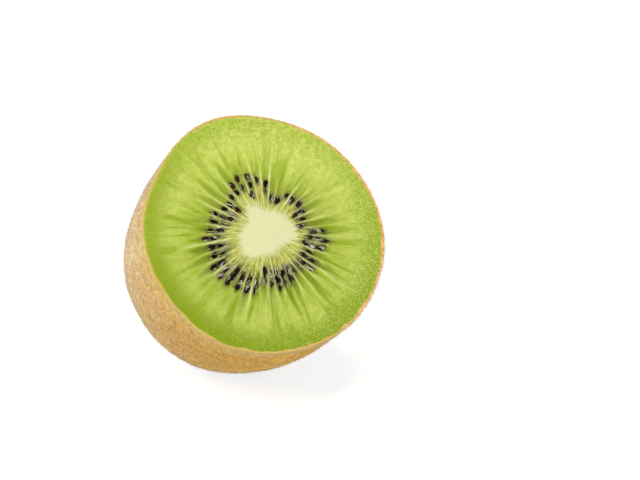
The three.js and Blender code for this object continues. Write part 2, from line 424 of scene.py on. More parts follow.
def ring_mesh(name, rings, reach):
    """A closed mesh over rings of places, mapped on a disc that reaches 0.5."""
    count, columns = rings.shape[:2]
    quads, fans = ring_faces(count, columns)
    ends = [rings[:1].mean(axis=1), rings[-1:].mean(axis=1)]
    mesh = mesh_of(name, np.concatenate([rings.reshape(-1, 3), *ends]), [quads, fans])
    mesh.set_sharp_from_angle(angle=SHARP_FROM)
    set_map(mesh, 0.5 + disc_map(reach, columns, quads, fans))
    return mesh


def store_masks(mesh, masks, shape, before, after):
    """Stores masks of a ring mesh on the rings they cover, and their end values beyond.

    before and after are the numbers of rings on either side that the masks don't cover.
    """
    for name, values in masks.items():
        values = np.broadcast_to(values, shape)
        rings = np.concatenate([
            np.repeat(values[:1], before, axis=0), values, np.repeat(values[-1:], after, axis=0)])
        ends = [values[0].mean(), values[-1].mean()]
        set_attribute(mesh, name, np.concatenate([rings.ravel(), ends]))


# ---- Materials ----

def colour(red, green, blue):
    """Display values from 0 to 255 as a linear colour."""
    def linear(value):
        share = value / 255
        return share / 12.92 if share <= 0.04045 else ((share + 0.055) / 1.055) ** 2.4
    return (linear(red), linear(green), linear(blue), 1.0)


MIX_FIRST, MIX_SECOND, MIX_RESULT = 6, 7, 2  # the Mix node's sockets for colours


class Nodes:
    """Short calls for building one material's nodes."""

    def __init__(self, name):
        self.material = bpy.data.materials.new(name)
        self.material.use_nodes = True
        self.tree = self.material.node_tree
        self.shader = self.tree.nodes["Principled BSDF"]

    def add(self, kind, **settings):
        node = self.tree.nodes.new(kind)
        for key, value in settings.items():
            setattr(node, key, value)
        return node

    def put(self, value, socket):
        """Links an output to a socket, or stores a constant in it."""
        if isinstance(value, bpy.types.NodeSocket):
            self.tree.links.new(value, socket)
        else:
            socket.default_value = value

    def fill(self, node, **inputs):
        """Puts values into a node's inputs, whose names have underscores for spaces."""
        for name, value in inputs.items():
            self.put(value, node.inputs[name.replace("_", " ")])

    def work_out(self, kind, operation, *values):
        """A node that does one operation on values, in the order of its inputs."""
        node = self.add(kind, operation=operation)
        for value, socket in zip(values, node.inputs):
            self.put(value, socket)
        return node

    def attribute(self, name):
        return self.add("ShaderNodeAttribute", attribute_name=name).outputs["Fac"]

    def math(self, operation, first, second):
        return self.work_out("ShaderNodeMath", operation, first, second).outputs[0]

    def times(self, first, second):
        return self.math("MULTIPLY", first, second)

    def mix(self, share, first, second):
        node = self.add("ShaderNodeMix", data_type="RGBA")
        self.put(share, node.inputs[0])
        self.put(first, node.inputs[MIX_FIRST])
        self.put(second, node.inputs[MIX_SECOND])
        return node.outputs[MIX_RESULT]

    def masked(self, name, under, over):
        """Lays one colour over another where a mask says so."""
        return self.mix(self.attribute(name), under, over)

    def layer(self, share, most, under, over):
        """Lays one colour over another, by a share of at most `most`."""
        return self.mix(self.times(share, most), under, over)

    def spread(self, value, low, high):
        """Stretches low..high to 0..1, smoothly and clamped."""
        node = self.add("ShaderNodeMapRange", interpolation_type="SMOOTHSTEP")
        self.fill(node, Value=value, From_Min=low, From_Max=high)
        return node.outputs["Result"]

    def ramp(self, value, stops):
        """A colour that changes with a value, from stops of a position and display values."""
        node = self.add("ShaderNodeValToRGB")
        self.put(value, node.inputs[0])
        elements = node.color_ramp.elements
        while len(elements) < len(stops):
            elements.new(0.5)
        for element, (position, *tone) in zip(elements, stops):
            element.position = position
            element.color = colour(*tone)
        return node.outputs[0]

    def place(self):
        """The place in the standing fruit, in metres."""
        stand = self.add("ShaderNodeMapping", vector_type="TEXTURE")
        self.fill(stand, Vector=self.add("ShaderNodeTexCoord").outputs["Object"],
                  Location=LAID.translation, Rotation=(math.radians(CUT_TILT), 0, 0))
        return stand.outputs[0]

    def noise(self, vector, scale, detail=2.0, roughness=0.5, distortion=0.0):
        """Noise from 0 to 1 with `scale` lumps to a unit of its coordinates."""
        node = self.add("ShaderNodeTexNoise")
        self.fill(node, Vector=vector, Scale=scale, Detail=detail, Roughness=roughness,
                  Distortion=distortion)
        return node.outputs["Fac"]

    def rays(self, per_turn, per_mm):
        """Coordinates that run round the axis and out from it, without a seam."""
        kind = "ShaderNodeVectorMath"
        flat = self.work_out(kind, "MULTIPLY", self.place(), (1, 1, 0)).outputs["Vector"]
        length = self.work_out(kind, "LENGTH", flat).outputs["Value"]
        heading = self.work_out(kind, "NORMALIZE", flat).outputs["Vector"]
        round_it = self.work_out(kind, "SCALE", heading)
        self.fill(round_it, Scale=per_turn / TAU)
        outward = self.add("ShaderNodeCombineXYZ")
        self.fill(outward, Z=self.times(length, per_mm / MM))
        both = self.work_out(kind, "ADD", round_it.outputs["Vector"], outward.outputs["Vector"])
        return both.outputs["Vector"]

    def bumped(self, height, distance, **inputs):
        """A normal bent by a height, which is `distance` millimetres where it is 1."""
        node = self.add("ShaderNodeBump")
        self.fill(node, Height=height, Distance=distance * MM, **inputs)
        return node.outputs[0]

    def finish(self, **inputs):
        """Fills the shader's inputs and returns the material."""
        self.fill(self.shader, **inputs)
        return self.material


# Colours of the cut; these go by the share of the way from the middle to the skin
FLESH_TONES = [
    (0.30, 152, 158, 58), (0.40, 160, 170, 58), (0.52, 177, 191, 70),
    (0.64, 191, 205, 87), (0.74, 201, 212, 99), (0.84, 197, 208, 94),
    (0.91, 186, 199, 78), (0.97, 172, 188, 46), (1.00, 182, 184, 52),
]
MOTTLE = colour(212, 222, 112)
DARK_STREAK = colour(136, 156, 16)
PALE_STREAK = colour(213, 222, 122)
FIBRE = colour(214, 224, 116)
FEATHER = colour(142, 160, 24)
PALE_FLESH = colour(212, 220, 112)
DEEP_FLESH = colour(124, 146, 6)
GREEN_PATCH = colour(140, 172, 28)
FRINGE_TONES = [(0.0, 142, 136, 48), (0.5, 184, 183, 84), (1.0, 210, 210, 128)]
LOCULE = colour(98, 108, 20)
SEED_GAP = colour(50, 52, 8)
SEED_SHADE = colour(24, 22, 4)
SILVER_FIBRE = colour(206, 202, 150)
STRAND = colour(204, 202, 142)
GLINT = colour(206, 202, 168)
GRAIN_GAP = colour(132, 160, 22)
SPARKLE = colour(218, 229, 138)
WALL = colour(224, 233, 158)
CREAM = colour(223, 223, 172)


def flesh_body(nodes):
    """The green of the flesh, with its streaks, patches and fine fibres."""
    tone = nodes.ramp(nodes.attribute("out"), FLESH_TONES)
    mottle = nodes.noise(nodes.place(), 420, 4, 0.65)
    tone = nodes.layer(nodes.spread(mottle, 0.42, 0.68), 0.16, tone, MOTTLE)
    streaky = nodes.attribute("streaky")
    streak = nodes.noise(nodes.rays(76, 0.11), 1.0, 2, 0.4, 0.35)
    dark_streak = nodes.times(nodes.spread(streak, 0.50, 0.36), streaky)
    tone = nodes.layer(dark_streak, 0.85, tone, DARK_STREAK)
    pale_streak = nodes.times(nodes.spread(streak, 0.52, 0.66), streaky)
    tone = nodes.layer(pale_streak, 0.7, tone, PALE_STREAK)
    fibre = nodes.noise(nodes.rays(260, 0.32), 1.0, 2, distortion=0.4)
    tone = nodes.layer(nodes.spread(fibre, 0.48, 0.68), 0.28, tone, FIBRE)
    tone = nodes.layer(nodes.attribute("feather"), 0.4, tone, FEATHER)
    tone = nodes.masked("pale", tone, PALE_FLESH)
    tone = nodes.masked("deep", tone, DEEP_FLESH)
    patch = nodes.noise(nodes.place(), 900, 2)
    patch = nodes.times(nodes.spread(patch, 0.42, 0.60), nodes.attribute("grain"))
    return nodes.layer(patch, 0.55, tone, GREEN_PATCH)


def strands(nodes):
    """Pale fibres that run outwards among the seeds and over them."""
    strand = nodes.noise(nodes.rays(170, 0.7), 1.0, 2, distortion=0.5)
    return nodes.spread(strand, 0.53, 0.62)


def add_seed_ring(nodes, tone):
    """Adds the fringe round the core, the locules and what shows between the seeds."""
    hair = nodes.noise(nodes.rays(170, 0.6), 1.0, 3, distortion=1.0)
    hairs = nodes.ramp(nodes.spread(hair, 0.28, 0.70), FRINGE_TONES)
    tone = nodes.masked("fringe", tone, hairs)
    tone = nodes.masked("locule", tone, LOCULE)
    seedy = nodes.attribute("seedy")
    gap = nodes.noise(nodes.rays(130, 0.5), 1.0, 2, distortion=0.5)
    gap = nodes.times(nodes.spread(gap, 0.54, 0.44), seedy)
    tone = nodes.layer(gap, 0.9, tone, SEED_GAP)
    tone = nodes.masked("shade", tone, SEED_SHADE)
    tone = nodes.layer(nodes.times(strands(nodes), seedy), 0.4, tone, SILVER_FIBRE)
    tone = nodes.layer(nodes.attribute("strand"), 0.35, tone, STRAND)
    glint = nodes.noise(nodes.place(), 2000, 1)
    glint = nodes.times(nodes.spread(glint, 0.58, 0.68), seedy)
    return nodes.layer(glint, 0.4, tone, GLINT)


def flesh_colour(nodes):
    """Colour of the cut from its masks, the same on the flesh and on the core."""
    tone = add_seed_ring(nodes, flesh_body(nodes))
    grain = nodes.noise(nodes.rays(420, 3.0), 1.0, 3, 0.7)
    gaps = nodes.times(nodes.spread(grain, 0.50, 0.34), nodes.attribute("grain"))
    tone = nodes.layer(gaps, 0.65, tone, GRAIN_GAP)
    sparkle = nodes.times(nodes.spread(grain, 0.48, 0.66), nodes.attribute("sparkle"))
    tone = nodes.layer(sparkle, 0.6, tone, SPARKLE)
    tone = nodes.masked("wall", tone, WALL)
    return nodes.masked("cream", tone, CREAM)


def cut_material(name):
    """Moist flesh or core: fibrous towards the skin, smooth on the core, slightly translucent."""
    nodes = Nodes(name)
    fibre = nodes.noise(nodes.rays(300, 0.5), 1.0, 2)
    fibre = nodes.times(fibre, nodes.math("SUBTRACT", 1.0, nodes.attribute("cream")))
    grain = nodes.noise(nodes.place(), 2800, 2)
    grainy = nodes.math("ADD", nodes.times(nodes.attribute("grain"), 0.8), 0.2)
    fibrous = nodes.bumped(fibre, 0.05)
    return nodes.finish(
        Base_Color=flesh_colour(nodes), Roughness=0.4, IOR=1.36, Specular_IOR_Level=0.1,
        Normal=nodes.bumped(nodes.times(grain, grainy), 0.07, Normal=fibrous),
        Subsurface_Weight=0.3, Subsurface_Scale=0.4 * MM, Subsurface_Radius=(1.2, 1.1, 0.35),
        Coat_Weight=0.05, Coat_Roughness=0.15)


BLACK_SEED, BROWN_SEED = colour(6, 4, 4), colour(56, 24, 12)
# the seeds' pale film: partly a real membrane, partly a painted highlight
SEED_FILM_HIGHLIGHT = colour(226, 214, 200)


def seed_material():
    """Wet seeds from black to brown, in part under a pale film that is partly a painted highlight.
    """
    nodes = Nodes("wet_seed")
    tone = nodes.masked("tone", BLACK_SEED, BROWN_SEED)
    # the film stands in partly for painted highlights on the wet seeds
    film = nodes.times(strands(nodes), nodes.attribute("film"))
    tone = nodes.layer(film, 0.9, tone, SEED_FILM_HIGHLIGHT)
    pits = nodes.noise(nodes.place(), 3600, 1)
    return nodes.finish(
        Base_Color=tone, Roughness=0.3, Normal=nodes.bumped(pits, 0.05),
        Specular_IOR_Level=0.05, Coat_Weight=0.04, Coat_Roughness=0.08)


def softness(depth):
    """Inputs of a dull shader in which light spreads to a depth, for skin and hairs."""
    return {"Specular_IOR_Level": 0.0, "Subsurface_Weight": 0.5,
            "Subsurface_Scale": depth * MM, "Subsurface_Radius": (1.0, 0.7, 0.4)}


TAN_SKIN, PALE_SKIN = colour(236, 204, 152), colour(252, 228, 184)
BROWN_SKIN = colour(170, 126, 76)
# painted shade: the underside of the skin darker and more golden
UNDERSIDE_SHADE = colour(206, 156, 62)
YELLOW_SKIN = colour(198, 162, 68)
SPECK = colour(170, 120, 60)
PALE_EDGE, WARM_EDGE, RUST = colour(208, 184, 100), colour(240, 190, 124), colour(186, 126, 62)
SCAR = colour(92, 66, 42)


def skin_material():
    """Dull tan skin, with painted shade on its underside, the line of its cut edge and the dark
    scar.
    """
    nodes = Nodes("skin")
    blotch = nodes.noise(nodes.place(), 240, 3)
    tone = nodes.mix(nodes.spread(blotch, 0.35, 0.70), TAN_SKIN, PALE_SKIN)
    tone = nodes.layer(nodes.attribute("brown"), 0.8, tone, BROWN_SKIN)
    # painted shade on the underside
    tone = nodes.masked("under", tone, UNDERSIDE_SHADE)
    tone = nodes.masked("yellow", tone, YELLOW_SKIN)
    speck = nodes.noise(nodes.place(), 1500, 3, 0.7)
    tone = nodes.layer(nodes.spread(speck, 0.48, 0.68), 0.45, tone, SPECK)
    line = nodes.noise(nodes.place(), 900, 2)
    rust = nodes.layer(nodes.spread(line, 0.42, 0.66), 0.6, WARM_EDGE, RUST)
    tone = nodes.masked("edge", tone, nodes.masked("warm", PALE_EDGE, rust))
    tone = nodes.masked("scar", tone, SCAR)
    return nodes.finish(
        Base_Color=tone, Roughness=0.8, Normal=nodes.bumped(speck, 0.1), **softness(0.15))


# Colours of the hairs, each from the darkest to the palest hair
HAIR = colour(210, 168, 114), colour(255, 242, 204)
BROWN_HAIR = colour(140, 98, 52), colour(228, 190, 130)
# painted shade of the hairs on the underside
UNDERSIDE_SHADE_HAIR = colour(160, 108, 32), colour(246, 208, 116)
YELLOW_HAIR = colour(208, 172, 76)


def fuzz_material():
    """Dull hairs in the tones of the skin that they stand on, with its painted shade underneath."""
    nodes = Nodes("fuzz")
    tone = nodes.masked("tone", *HAIR)
    tone = nodes.layer(nodes.attribute("brown"), 0.8, tone, nodes.masked("tone", *BROWN_HAIR))
    # painted shade on the underside
    tone = nodes.masked("under", tone, nodes.masked("tone", *UNDERSIDE_SHADE_HAIR))
    tone = nodes.layer(nodes.attribute("yellow"), 0.75, tone, YELLOW_HAIR)
    return nodes.finish(Base_Color=tone, Roughness=0.6, **softness(0.7))


# ---- The cut ----
# A plain number beside a radius is in millimetres, and one given to towards() is in degrees.
# They were set by measuring on the photo.

def shadiness(direction):
    """How dark the flesh beyond the seeds is in a direction, from 0 to 1."""
    return np.maximum(*(towards(direction, corner) for corner in SHADY_CORNERS))


def seed_shade(places, seeds):
    """How dark the flesh is beside each seed, and in the smear just outside it."""
    shade = np.zeros(places.shape[:-1])
    for radius, direction, _, size, twist, _ in seeds:
        angle = direction + twist
        along = np.array([math.cos(angle), math.sin(angle)])
        across = np.array([-along[1], along[0]])
        outward = np.array([math.cos(direction), math.sin(direction)])
        smear = 0.5 * (0.4 + 0.6 * float(shadiness(direction)))
        # How far out from the seed, how dark, and how much larger than it
        for step, strength, grow in ((0.0, 0.85, 1.25), (0.6, smear, 1.1)):
            off = places[..., :2] - (radius + step) * outward
            lengthways = off @ along / (SEED_SIZE[0] / 2 * size * grow)
            sideways = off @ across / (SEED_SIZE[1] / 2 * size * grow)
            spot = strength * np.exp(-(lengthways**2 + sideways**2) ** 1.5)
            shade = np.maximum(shade, spot)
    return shade * (0.75 + 0.35 * soft_noise(flattened(places), 0.6, 17))


def wall_phase(turn, places):
    """Number of locules passed on the way round; whole on a wall, which leans and bends."""
    flat = flattened(places)
    bend = 0.11 * soft_noise(flat, 5.0, 7) + 0.04 * soft_noise(flat, 1.7, 8)
    return LOCULES * turn / TAU + bend


class CutPlaces:
    """Places on the cut, with what its masks need to know of each of them."""

    def __init__(self, radius, turn, places):
        self.radius = radius
        self.direction = uneven(turn)
        self.flat = flattened(places)
        self.out = radius / (CUT_RADIUS + swell(CUT_SWELLS, self.direction))
        self.edge = core_edge(self.direction)
        self.near, self.far = seed_reach(self.direction)
        self.shady = shadiness(self.direction)
        self.phase = wall_phase(turn, places)
        self.wall = np.rint(self.phase)
        self.aside = (self.phase - self.wall) * TAU * radius / LOCULES

    def towards(self, degrees):
        return towards(self.direction, degrees)


def locule_masks(at):
    """The pale walls, and between them the dark flames and feathers beyond the seeds."""
    rng = np.random.default_rng(11)
    wall_strength = rng.uniform(0.35, 1.0, LOCULES)
    wall_end = rng.uniform(14.0, 21.0, LOCULES)
    locule_end = rng.uniform(14.0, 20.0, LOCULES)
    locule_depth = rng.uniform(0.55, 1.0, LOCULES)
    wall_index = at.wall.astype(int) % LOCULES
    locule_index = np.floor(at.phase).astype(int) % LOCULES

    width = np.clip(0.13 + 0.012 * (at.radius - 8), 0.12, 0.3)
    wall = wall_strength[wall_index] * bump(at.aside, 0.0, width)
    wall = wall * (0.8 + 0.35 * soft_noise(at.flat, 1.4, 9))
    wall = wall * smoothstep(at.edge - 0.2, at.edge + 1.0, at.radius)
    wall = wall * (1 - smoothstep(wall_end[wall_index] - 7, wall_end[wall_index], at.radius))

    end = np.maximum(locule_end[locule_index], at.far + 2)
    along = np.clip((at.radius - at.far) / (end - at.far), 0, 1)
    middle = (1 - np.cos(TAU * at.phase)) / 2
    flame = smoothstep(along - 0.25, along + 0.35, middle + 0.2 * soft_noise(at.flat, 0.9, 15))
    locule = locule_depth[locule_index] * flame * (1 - along) ** 0.9
    locule = locule * smoothstep(at.near - 1.0, at.near + 0.3, at.radius)
    locule = locule * (0.1 + 0.9 * at.shady**2)

    barbs = 0.5 * at.radius - 1.5 * np.abs(at.aside)
    barbs = np.stack([barbs, at.wall * 3.7, np.sign(at.aside) * 5], -1)
    feather = smoothstep(0.0, 0.5, soft_noise(barbs, 0.55, 16))
    feather = feather * smoothstep(at.far, at.far + 2, at.radius)
    feather = feather * (1 - smoothstep(14, 21, at.radius))
    return {"wall": np.clip(wall, 0, 1), "locule": locule, "feather": feather}


def seed_ring_masks(at):
    """The core, the fringe round it, the ring of seeds and the streaks that leave it."""
    round_it = at.flat / np.maximum(at.radius, 1)[..., None] * 6.0
    outward = (0, 0, 1) * at.radius[..., None]
    hairs = soft_noise(round_it + 0.12 * outward, 0.22, 10)
    strand = smoothstep(0.1, 0.45, soft_noise(round_it + 0.05 * outward, 0.14, 14))
    tips = 0.8 * at.towards(-9) ** 50 + 0.5 * at.towards(108) ** 50
    cream = 1 - smoothstep(at.edge - 0.7, at.edge + 1.15, at.radius + 0.7 * hairs - tips)
    fringe = 1 - smoothstep(at.near - 0.6, at.near + 1.0, at.radius)
    first_shade = 0.83 * at.near - 1.2 * at.towards(210) ** 4
    last_shade = at.far + 0.4 + 1.2 * at.towards(265)
    seedy = smoothstep(first_shade, at.near + 0.2, at.radius)
    seedy = seedy * (1 - smoothstep(at.far, last_shade, at.radius)) * (0.3 + 0.8 * at.shady)
    streaky = smoothstep(9, 13, at.radius) * (1 - smoothstep(19, 25, at.radius))
    streaky = streaky * (0.5 + 0.5 * at.shady)
    return {"cream": cream, "fringe": fringe, "seedy": seedy, "strand": strand * seedy,
            "streaky": streaky}


def rim_masks(at):
    """The grain towards the skin, and where the green is deeper or paler."""
    grainy = np.maximum(at.towards(-35) ** 2, 0.7 * at.towards(65) ** 3)
    sparkle = smoothstep(0.66, 0.90, at.out) * (0.1 + 0.9 * grainy)
    grain = 0.35 * smoothstep(6, 11, at.radius) + 0.65 * sparkle
    corners = 0.35 * at.towards(212) ** 4 + 0.3 * at.towards(325) ** 6
    deep = smoothstep(0.38, 0.55, at.out) * (1 - 0.5 * smoothstep(0.7, 0.85, at.out)) * corners
    rim = np.maximum(0.68 * at.towards(260) ** 0.8, 0.44 * at.towards(160) ** 4)
    deep = deep + smoothstep(0.74, 0.94, at.out) * (0.04 + rim)
    pale = 0.5 * smoothstep(0.5, 0.75, at.out) * at.towards(35) ** 2
    pale = pale + 0.6 * smoothstep(0.955, 0.985, at.out) * at.towards(90)
    return {"grain": grain, "sparkle": sparkle, "deep": deep, "pale": pale}


def cut_masks(radius, turn, places, seeds):
    """What shows where on the cut, each from 0 to 1."""
    at = CutPlaces(radius, turn, places)
    return {"out": at.out, "shade": seed_shade(places, seeds),
            **locule_masks(at), **seed_ring_masks(at), **rim_masks(at)}


def make_cut(seeds):
    """The flesh, from its relief at the cut down to where the skin holds it."""
    turn = np.linspace(0, TAU, COLUMNS, endpoint=False)[None, :]
    share = np.linspace(0, 1, CUT_RINGS)[:, None]
    direction = uneven(turn)
    edge = core_edge(direction)
    inner = edge / (1 + swell(CUT_SWELLS, direction) / CUT_RADIUS)
    radius = inner + (CUT_RADIUS - skin_thickness(direction) - inner) * share
    top = fruit_places(radius, np.zeros_like(radius), turn)
    top[..., 2] -= hollow_at(radius, wall_phase(turn, top) * TAU / LOCULES)
    masks = cut_masks(np.hypot(top[..., 0], top[..., 1]), turn, top, seeds)
    top[..., 2] += sum(height * masks[name] for name, height in RELIEF.items())
    flat = flattened(top)
    top[..., 2] += 0.04 * masks["grain"] * soft_noise(flat, 0.4, 3)
    top[..., 2] += 0.05 * smoothstep(7, 10, radius) * soft_noise(flat, 3.5, 4)
    top[..., 2] -= RIM_DROP * smoothstep(0.975, 1.0, masks["out"])

    socket = places_at(edge, direction, -np.array(SOCKET_DEPTHS)[:, None])
    side = inside_places(SIDE_DEPTHS, turn, SKIN_INSET + SKIN_GAP)

    # Nearly all of the map is the cut's; the socket and the side share what is left
    reach = np.concatenate([
        [0.03, 0.06], 0.44 * radius.mean(axis=1) / CUT_RADIUS, np.linspace(0.445, 0.48, len(side))])
    mesh = ring_mesh("cut_flesh", np.concatenate([socket, top, side]), reach)
    store_masks(mesh, masks, top.shape[:2], len(socket), len(side))
    dress("cut_flesh", mesh, cut_material("cut_flesh"), "flesh")


def make_core(seeds):
    """The pale core: a low dome at the cut, and the spindle below it."""
    turn = np.linspace(0, TAU, COLUMNS // 2, endpoint=False)[None, :]
    direction = uneven(turn)
    share = np.linspace(0.02, 1, CORE_RINGS)[:, None]
    radius = core_edge(direction) * share
    top = places_at(radius, direction, CORE_DOME * (1 - share**2))
    masks = cut_masks(radius, turn, top, seeds)
    top[..., 2] += 0.03 * soft_noise(flattened(top), 1.8, 5) * (1 - share**4)

    depth = CORE_LENGTH * np.sin(np.linspace(0.03, math.pi / 2 - 0.03, 12))[:, None]
    left = 1 - depth / CORE_LENGTH
    narrow = np.sqrt(1 - (depth / CORE_LENGTH) ** 2)
    out = narrow * (CORE_RADIUS + swell(CORE_SWELLS, direction) * left)
    side = np.stack(np.broadcast_arrays(
        out * np.cos(direction) + END_SHIFT[0] * depth / DEPTH,
        out * np.sin(direction) + END_SHIFT[1] * depth / DEPTH, -depth), -1)

    reach = np.concatenate([0.4 * share[:, 0], np.linspace(0.41, 0.48, len(side))])
    mesh = ring_mesh("core_column", np.concatenate([top, side]), reach)
    store_masks(mesh, masks, top.shape[:2], 0, len(side))
    dress("core_column", mesh, cut_material("core_column"), "core")


# ---- Seeds ----

def seed_form():
    """Rings of places of a seed of unit size: blunt outside, pointed towards the core."""
    angle = np.linspace(0.15, math.pi - 0.15, SEED_RINGS)[:, None]
    turn = np.linspace(0, TAU, SEED_COLUMNS, endpoint=False)[None, :]
    x = -np.cos(angle) / 2
    thick = np.sin(angle) / 2 * (1 + 0.30 * x)
    return np.stack(np.broadcast_arrays(x, thick * np.cos(turn), thick * np.sin(turn)), -1)


def rings_and_ends(form):
    """The places of a form's rings, then its two end points."""
    ends = [form[:1].mean(axis=1) - (0.01, 0, 0), form[-1:].mean(axis=1) + (0.01, 0, 0)]
    return np.concatenate([form.reshape(-1, 3), *ends])


def make_seeds(seeds):
    """All the seeds that show at the cut, in one mesh, each with a disc of its own on the map."""
    form = seed_form()
    quads, fans = ring_faces(SEED_RINGS, SEED_COLUMNS)
    spots = disc_map(np.linspace(0.06, 0.45, SEED_RINGS), SEED_COLUMNS, quads, fans)
    quad_spots, fan_spots = spots[:quads.size], spots[quads.size:]
    step = SEED_RINGS * SEED_COLUMNS + 2  # from one seed's first vertex to the next one's
    cells = math.ceil(math.sqrt(len(seeds)))
    rng = np.random.default_rng(5)
    parts = []
    for index, (radius, direction, turn, size, twist, sink) in enumerate(seeds):
        shaped = rings_and_ends(form * np.array(SEED_SIZE) * size)
        roll, angle = rng.uniform(-0.35, 0.35), direction + twist
        spin = Matrix.Rotation(angle, 3, "Z") @ Matrix.Rotation(roll, 3, "X")
        middle = np.array([radius * math.cos(direction), radius * math.sin(direction),
                           -float(hollow_at(radius, turn)) - sink])
        cell = np.array([index % cells + 0.5, index // cells + 0.5])
        parts.append((
            shaped @ np.array(spin).T + middle, quads + index * step, fans + index * step,
            (quad_spots + cell) / cells, (fan_spots + cell) / cells))
    places, all_quads, all_fans, *maps = (np.concatenate(arrays) for arrays in zip(*parts))
    mesh = mesh_of("seeds", places, [all_quads, all_fans])
    set_map(mesh, np.concatenate(maps))
    set_attribute(mesh, "tone", np.repeat(rng.uniform(size=len(seeds)) ** 2, step))
    # which side of each seed carries the pale film, which is partly a painted highlight
    side = np.sign(rng.uniform(-1, 1, size=(len(seeds), 1)))
    cover = rng.uniform(-0.1, 1.0, size=(len(seeds), 1))
    film = np.clip(cover + 1.6 * side * rings_and_ends(form)[None, :, 1], 0, 1)
    set_attribute(mesh, "film", film)
    dress("seeds", mesh, seed_material(), "flesh")


# ---- Skin ----

def skin_outside():
    """Places of the outside of the skin, ring by ring from the cut to the hidden end."""
    radius, height = skin_section(SKIN_RINGS, SCAR_RINGS)
    turn = np.linspace(0, TAU, COLUMNS // 2, endpoint=False)[None, :]
    places = fruit_places(radius[:, None], height[:, None], turn)
    lumps = 0.10 * soft_noise(places, 5.0, 1) + 0.05 * soft_noise(places, 1.6, 2)
    fade = smoothstep(0.0, 2.0, -places[..., 2])
    out = unit(flattened(places)) * ((lumps - SKIN_INSET) * fade)[..., None]
    return above_floor(places + out)


def skin_masks(places):
    """Where the skin is brown, yellow as near the cut, or darker and golden on the underside as
    painted shade.

    Also where its cut edge is rusty: `warm`.
    """
    direction = np.arctan2(places[..., 1], places[..., 0])
    depth = -places[..., 2]
    near_cut = 1 - smoothstep(0.5, 7, depth)
    far_end = smoothstep(22, 36, depth)
    brown = np.maximum(towards(direction, 235) ** 3.5, 0.8 * towards(direction, 60))
    brown = np.maximum(brown, far_end)
    brown = brown * smoothstep(0.3, 6 - 5 * towards(direction, 20), depth)
    yellow = np.maximum(towards(direction, 235), towards(direction, 120) ** 2)
    yellow = np.maximum(yellow, 0.4 * towards(direction, -20) ** 2)
    # under: painted shade, darker and more golden towards the bottom
    return {"under": towards(direction, 285) ** 2 * smoothstep(0.5, 5, depth) * (1 - far_end),
            "brown": brown,
            "yellow": near_cut * (0.2 + 0.6 * yellow),
            "warm": towards(direction, -5) ** 1.5}


def make_skin():
    """The skin, a thin cup whose cut edge shows as a line round the flesh."""
    outside = skin_outside()[::-1]
    turn = np.linspace(0, TAU, outside.shape[1], endpoint=False)[None, :]
    inside = above_floor(inside_places((0.0, *SIDE_DEPTHS), turn, SKIN_INSET + SKIN_GAP / 2))
    rings = np.concatenate([outside, inside])[:, ::-1]
    reach = np.append(
        np.linspace(0.02, 0.42, len(outside)), np.linspace(0.425, 0.48, len(inside)))
    mesh = ring_mesh("skin", rings, reach)
    masks = skin_masks(rings)
    masks["edge"] = np.zeros(rings.shape[:2])
    masks["edge"][len(outside) - 1:len(outside) + 1] = 1.0
    masks["scar"] = np.zeros(rings.shape[:2])
    masks["scar"][:SCAR_RINGS] = np.linspace(1.0, 0.2, SCAR_RINGS)[:, None]
    store_masks(mesh, masks, rings.shape[:2], 0, 0)
    dress("skin", mesh, skin_material(), "flesh")


def rim_fuzz(places):
    """1 along the part of the cut's rim where the fuzz stands up thickest, 0 away from it."""
    direction = np.arctan2(places[..., 1], places[..., 0])
    return bump(places[..., 2], 0.0, 0.9) * towards(direction, FUZZY_RIM) ** 2


def hair_faces(rng, surface):
    """Ring and column of the skin's face that each hair stands on."""
    widths = np.linalg.norm(np.roll(surface, -1, axis=1) - surface, axis=-1)[:-1]
    area = widths * np.linalg.norm(np.diff(surface, axis=0), axis=-1)
    share = area * (1 + RIM_CROWD * rim_fuzz(surface[:-1]))
    chosen = rng.choice(share.size, size=HAIRS, p=share.ravel() / share.sum())
    return np.divmod(chosen, surface.shape[1])


def grow_hairs(rng, surface):
    """Root and tip of each hair, and the skin's outward direction there."""
    ring, column = hair_faces(rng, surface)
    part = rng.uniform(size=(HAIRS, 2, 1))
    here, below = surface[ring, column], surface[ring + 1, column]
    beside = surface[ring, (column + 1) % surface.shape[1]]
    root = here + (below - here) * part[:, 0] + (beside - here) * part[:, 1]
    down = unit(below - here)
    side = unit(beside - here)
    outward = unit(np.cross(down, side))
    flat_share = rng.uniform(size=(HAIRS, 1)) ** 0.35
    lean = HAIR_LEAN[0] + (HAIR_LEAN[1] - HAIR_LEAN[0]) * flat_share
    lean = lean * (1 - 0.5 * rim_fuzz(root))[:, None]
    heading = rng.normal(*HAIR_HEADING, size=(HAIRS, 1))
    along = down * np.cos(heading) + side * np.sin(heading)
    length = rng.uniform(*HAIR_LENGTH, size=(HAIRS, 1))
    tip = root + length * (outward * np.cos(lean) + along * np.sin(lean))
    lowest = np.minimum(in_frame(tip)[:, 2], in_frame(root)[:, 2])
    clear = (lowest > HAIR_OFF_FLOOR * MM) & (tip[:, 2] < HAIR_ABOVE_CUT)
    return root[clear], tip[clear], outward[clear]


def spike_mesh(name, root, tip, outward, half_width):
    """Slim three-sided spikes, each face with a corner of the map to itself."""
    axis = unit(tip - root)
    wide = unit(np.cross(axis, outward))
    deep = np.cross(axis, wide)
    corners = [root + half_width * (wide * math.cos(angle) + deep * math.sin(angle))
               for angle in (0, TAU / 3, -TAU / 3)]
    places = np.stack([*corners, tip], axis=1).reshape(-1, 3)
    first = np.arange(len(root))[:, None, None] * 4
    faces = first + np.array([(0, 2, 1), (0, 1, 3), (1, 2, 3), (2, 0, 3)])
    mesh = mesh_of(name, places, [faces.reshape(-1, 3)])

    cells = math.ceil(math.sqrt(len(root)))
    index = np.arange(len(root))
    cell = np.stack([index % cells, index // cells], -1)[:, None, None, :]
    quarter = np.array([(0, 0), (1, 0), (0, 1), (1, 1)])[:, None, :] / 2
    corner = np.array([(0.05, 0.05), (0.45, 0.05), (0.05, 0.45)])[None, :, :]
    set_map(mesh, (cell + quarter + corner) / cells)
    return mesh


